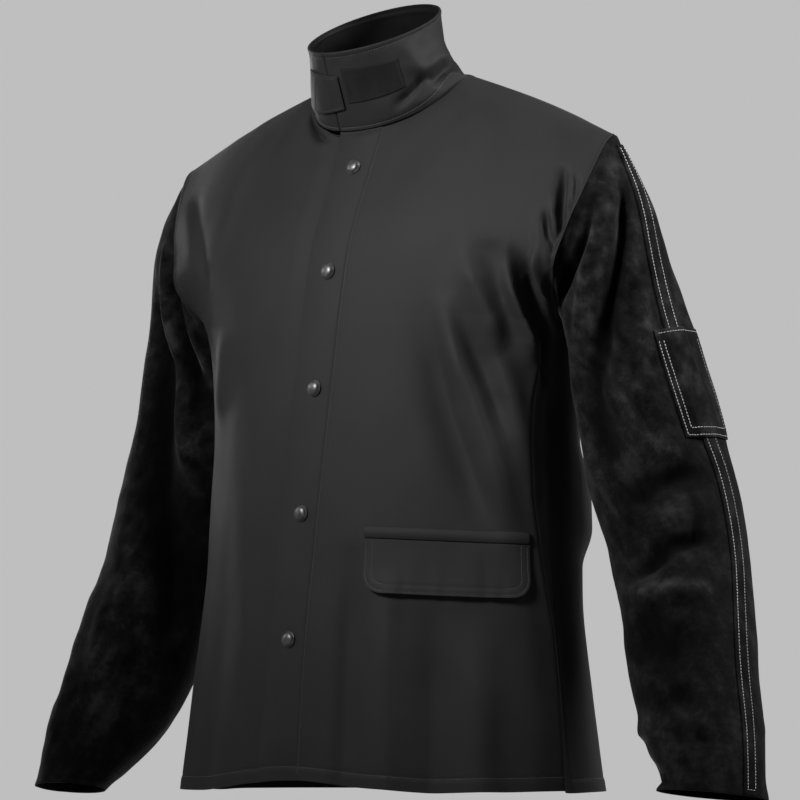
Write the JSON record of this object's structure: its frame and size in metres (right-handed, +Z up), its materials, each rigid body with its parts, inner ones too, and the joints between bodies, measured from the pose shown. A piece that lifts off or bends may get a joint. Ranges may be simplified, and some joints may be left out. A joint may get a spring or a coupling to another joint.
{
  "type": "welding jacket",
  "caption": "Welding jacket with a sateen body, stand collar, split leather sleeves, a snapped front placket, a flap pocket on the left front and a pen pocket on the left sleeve.",
  "frame": {"origin": "middle of the neck hole at the level of the collar seam", "axes": "+Z up the neck, +X to the wearer's left, -Y out of the front"},
  "size_m": [0.9226, 0.3356, 0.7974],
  "materials": {
    "sateen": "matt twill-faced cotton",
    "suede": "napped split leather",
    "loop": "loop pile",
    "snap": "dark satin"
  },
  "bodies": {
    "root": {"back_panel": "sateen", "front_panel_left": "sateen", "front_panel_right": "sateen", "front_placket": "sateen", "collar_stand": "sateen", "collar_tab": "sateen", "pocket_welt": "sateen", "pocket_flap": "sateen", "sleeve_left_front": "suede", "sleeve_left_back": "suede", "sleeve_left_seam_strip": "suede", "sleeve_right_front": "suede", "sleeve_right_back": "suede", "sleeve_right_seam_strip": "suede", "sleeve_pocket": "suede", "collar_loop_patch": "loop", "snap_1": "snap", "snap_2": "snap", "snap_3": "snap", "snap_4": "snap", "snap_5": "snap"}
  },
  "joints": []
}
